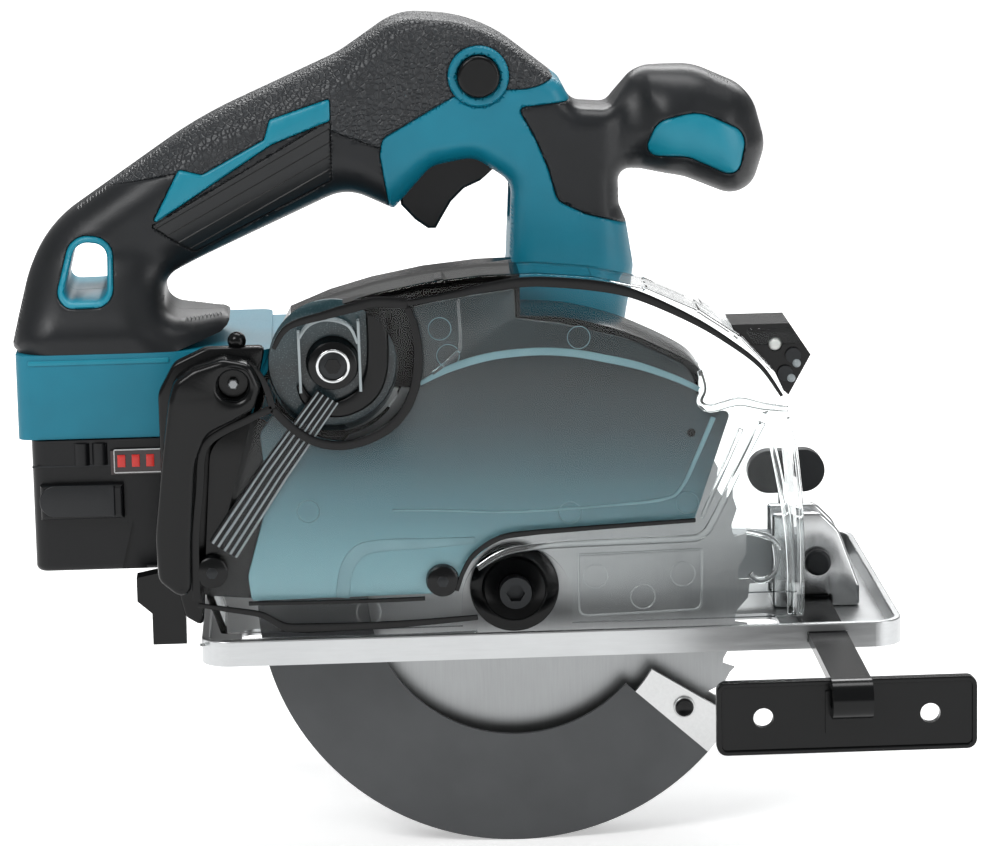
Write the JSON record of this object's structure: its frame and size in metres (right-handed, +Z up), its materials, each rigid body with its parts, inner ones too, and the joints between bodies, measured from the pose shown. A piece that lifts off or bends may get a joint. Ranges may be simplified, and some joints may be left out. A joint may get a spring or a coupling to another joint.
{
  "type": "circular saw",
  "caption": "Cordless circular saw for metal: teal and black handle with front knob, clear chip cover over the blade, swinging lower guard, pivoting base with rip fence, slide-on battery.",
  "frame": {"origin": "on the underside of the base, below the blade's axis and half way across the base; the handle's two halves meet in the plane Y = 0", "axes": "+X towards the front (cutting direction), +Y across from the blade cover side to the motor side, +Z up"},
  "size_m": [0.289, 0.2135, 0.2565],
  "materials": {
    "base_alloy": "satin cast and machined light alloy",
    "bracket_steel": "satin plated steel",
    "black_steel": "black oxide",
    "blade_steel": "ground steel",
    "guard_metal": "satin dark grey paint",
    "tip_metal": "satin light alloy",
    "case_black": "fine matt moulded texture",
    "clear_plastic": "clear polycarbonate, polished",
    "smoked_plastic": "smoked polycarbonate, polished",
    "steel_bright": "bright plated steel",
    "alloy_grey": "die-cast light alloy",
    "teal_plastic": "fine matt moulded texture",
    "soft_black": "soft overmould with a fine leather grain",
    "teal_trim": "satin",
    "copper": "enamelled winding wire",
    "lamination": "stacked sheet steel",
    "cell_wrap": null,
    "board_green": "printed circuit board",
    "contact_brass": "spring contacts",
    "lamp_white": "white lens",
    "gauge_dark": "dark window over red lamps"
  },
  "bodies": {
    "base": {"base_plate": "base_alloy", "pivot_bracket": "bracket_steel", "pivot_pin": "black_steel", "depth_guide": "bracket_steel", "fence_clamp": "bracket_steel"},
    "fence": {"rip_fence": "black_steel"},
    "fence_screw": {"fence_screw": "black_steel"},
    "saw_body": {"gear_case": "alloy_grey", "bearing_plate": "alloy_grey", "motor_housing": "case_black", "motor_end_cap": "case_black", "stator": "lamination", "windings": "copper", "bearings": "steel_bright", "blade_case": "case_black", "clear_cover": "clear_plastic", "tinted_panel": "smoked_plastic", "cover_bolt": "black_steel", "cover_screws": "black_steel", "rear_frame": "case_black", "lamp_housing": "case_black", "lamp_led": "lamp_white", "guard_spring": "steel_bright", "depth_bolt": "steel_bright", "handle_shell_near": "teal_plastic", "handle_shell_far": "teal_plastic", "grip_skin_near": "soft_black", "grip_skin_far": "soft_black", "grip_stripes": "teal_trim", "strap_ring": "teal_trim", "front_grip_near": "soft_black", "front_grip_far": "soft_black", "knob_inserts": "teal_trim", "handle_screws": "black_steel", "trigger_switch": "case_black", "battery_dock": "teal_plastic", "dock_terminals": "contact_brass", "control_board": "board_green"},
    "blade_unit": {"blade": "blade_steel", "inner_flange": "steel_bright", "outer_flange": "steel_bright", "blade_bolt": "black_steel", "spindle": "steel_bright"},
    "idler": {"idler_shaft": "steel_bright"},
    "rotor": {"rotor_shaft": "steel_bright", "rotor_core": "lamination", "cooling_fan": "case_black"},
    "lower_guard": {"guard_shell": "guard_metal", "guard_tip": "tip_metal"},
    "depth_lever": {"depth_lever": "case_black"},
    "shaft_lock": {"shaft_lock": "black_steel"},
    "trigger": {"trigger": "case_black"},
    "lock_button": {"lock_button": "case_black"},
    "chip_door": {"chip_door": "case_black"},
    "chip_latch": {"chip_latch": "case_black"},
    "battery": {"battery_lower_case": "case_black", "battery_upper_case": "case_black", "battery_cells": "cell_wrap", "battery_gauge": "gauge_dark"},
    "battery_button": {"battery_button": "teal_trim"}
  },
  "joints": [
    {"name": "depth_pivot", "type": "hinge", "parent": "base", "child": "saw_body", "pos_m": [0.0985, -0.011, 0.017], "axis": [0, 1, 0], "range_deg": [0, 28]},
    {"name": "blade_spin", "type": "hinge", "parent": "saw_body", "child": "blade_unit", "pos_m": [0, -0.042, 0.0175], "axis": [0, 1, 0], "continuous": true},
    {"name": "idler_spin", "type": "hinge", "parent": "saw_body", "child": "idler", "pos_m": [-0.00232, -0.015, 0.03399], "axis": [0, 1, 0], "continuous": true},
    {"name": "rotor_spin", "type": "hinge", "parent": "saw_body", "child": "rotor", "pos_m": [-0.00431, 0.027, 0.0482], "axis": [0, 1, 0], "continuous": true},
    {"name": "guard_swing", "type": "hinge", "parent": "saw_body", "child": "lower_guard", "pos_m": [0, -0.034, 0.0175], "axis": [0, 1, 0], "range_deg": [0, 125], "stiffness_Nm_per_rad": 0.12, "springref_deg": -85.94},
    {"name": "fence_slide", "type": "slide", "parent": "base", "child": "fence", "axis": [0, 1, 0], "range_m": [-0.006, 0.045]},
    {"name": "fence_screw_turn", "type": "hinge", "parent": "base", "child": "fence_screw", "pos_m": [0.096, 0.048, 0.02], "axis": [0, 0, 1], "range_deg": [-180, 180]},
    {"name": "depth_lever_turn", "type": "hinge", "parent": "saw_body", "child": "depth_lever", "pos_m": [-0.0625, -0.018, 0.017], "axis": [0, 1, 0], "range_deg": [0, 30]},
    {"name": "shaft_lock_press", "type": "slide", "parent": "saw_body", "child": "shaft_lock", "axis": [1, 0, 0], "range_m": [0, 0.0012], "stiffness_N_per_m": 1500, "springref_m": -0.002},
    {"name": "trigger_pull", "type": "hinge", "parent": "saw_body", "child": "trigger", "pos_m": [-0.006, 0, 0.15], "axis": [0, 1, 0], "range_deg": [0, 10], "stiffness_Nm_per_rad": 0.9, "springref_deg": -5.73},
    {"name": "lock_button_push", "type": "slide", "parent": "saw_body", "child": "lock_button", "axis": [0, 1, 0], "range_m": [-0.003, 0.003], "stiffness_N_per_m": 1200},
    {"name": "chip_door_swing", "type": "hinge", "parent": "saw_body", "child": "chip_door", "pos_m": [-0.0856, -0.059, 0.0879], "axis": [0, 1, 0], "range_deg": [0, 60]},
    {"name": "chip_latch_turn", "type": "hinge", "parent": "saw_body", "child": "chip_latch", "pos_m": [-0.1, -0.043, 0.029], "axis": [0, 1, 0], "range_deg": [0, 25]},
    {"name": "battery_slide", "type": "slide", "parent": "saw_body", "child": "battery", "axis": [0, 1, 0], "range_m": [0, 0.095]},
    {"name": "battery_release", "type": "slide", "parent": "battery", "child": "battery_button", "axis": [0, 0, -1], "range_m": [0, 0.004], "stiffness_N_per_m": 1000, "springref_m": -0.002}
  ],
  "couplings": [
    {"joint": "idler_spin", "follows": "blade_spin", "ratio": -1.4667},
    {"joint": "rotor_spin", "follows": "blade_spin", "ratio": 5.2148}
  ]
}
